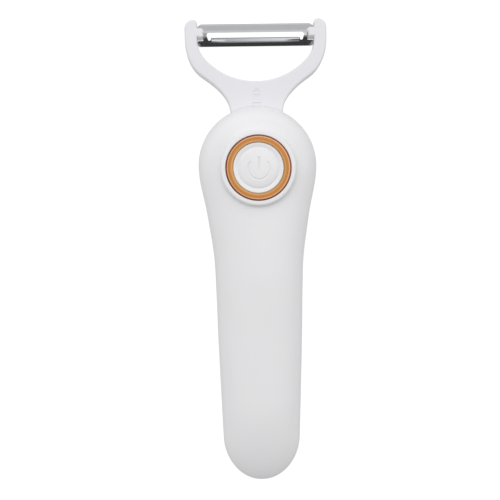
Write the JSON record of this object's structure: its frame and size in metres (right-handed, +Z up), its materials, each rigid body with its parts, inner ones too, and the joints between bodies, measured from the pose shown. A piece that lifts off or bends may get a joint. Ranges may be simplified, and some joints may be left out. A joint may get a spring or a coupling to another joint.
{
  "type": "electric potato peeler",
  "caption": "Battery-powered Y-shaped vegetable peeler: moulded handle with a round head and power button, pull-out forked head, swivelling slotted blade and sliding battery cover.",
  "frame": {"origin": "centre of the bounding box on the plane that the peeler rests on, lying on its back", "axes": "+Z up through the power button, +Y towards the blade, +X to the right seen from the button's side"},
  "size_m": [0.06, 0.1948, 0.0308],
  "materials": {
    "white_abs": "glossy moulded ABS",
    "orange_ring": "metallised orange plastic",
    "blade_steel": "brushed stainless",
    "spring_steel": "nickel plated",
    "zinc_steel": "zinc plated",
    "grey_nylon": "moulded nylon",
    "dark_nylon": "moulded nylon",
    "circuit_board": "solder mask",
    "grey_rubber": "soft",
    "wire_sleeve": "PVC",
    "cell_wrap": "shrink film",
    "weight_steel": "sintered"
  },
  "bodies": {
    "handle": {"front_shell": "white_abs", "rear_shell": "white_abs", "head_socket": "grey_nylon", "shell_screw_lower_left": "zinc_steel", "shell_screw_lower_right": "zinc_steel", "shell_screw_upper_left": "zinc_steel", "shell_screw_upper_right": "zinc_steel", "battery_tray": "dark_nylon", "bridge_plate": "spring_steel", "plus_terminal": "spring_steel", "minus_terminal": "spring_steel", "battery_cell_left": "cell_wrap", "battery_cell_right": "cell_wrap", "contact_spring_left": "spring_steel", "contact_spring_right": "spring_steel", "tray_screw_left": "zinc_steel", "tray_screw_right": "zinc_steel", "motor_can": "zinc_steel", "motor_end_bell": "grey_nylon", "motor_terminal_left": "spring_steel", "motor_terminal_right": "spring_steel", "lead_plus": "wire_sleeve", "lead_switch": "wire_sleeve", "lead_minus": "wire_sleeve", "trim_ring": "orange_ring", "switch_body": "dark_nylon", "switch_board": "circuit_board", "board_screw_left": "zinc_steel", "board_screw_right": "zinc_steel"},
    "button": {"button_cap": "white_abs", "switch_plunger": "dark_nylon"},
    "rotor": {"motor_shaft": "zinc_steel", "eccentric_weight": "weight_steel"},
    "cover": {"battery_cover": "white_abs"},
    "head": {"yoke": "white_abs", "neck_seal": "grey_rubber"},
    "peeling_blade": {"blade": "blade_steel"}
  },
  "joints": [
    {"name": "head_release", "type": "slide", "parent": "handle", "child": "head", "axis": [0, 1, 0], "range_m": [0, 0.022]},
    {"name": "blade_swivel", "type": "hinge", "parent": "head", "child": "peeling_blade", "pos_m": [0, 0.09151, 0.013], "axis": [1, 0, 0], "range_deg": [-25, 25]},
    {"name": "button_press", "type": "slide", "parent": "handle", "child": "button", "axis": [0, 0, -1], "range_m": [0, 0.0012], "stiffness_N_per_m": 2000},
    {"name": "motor_spin", "type": "hinge", "parent": "handle", "child": "rotor", "pos_m": [0, 0.02762, 0.011], "axis": [0, 1, 0], "continuous": true},
    {"name": "cover_slide", "type": "slide", "parent": "handle", "child": "cover", "axis": [0, -1, 0], "range_m": [0, 0.096]}
  ]
}
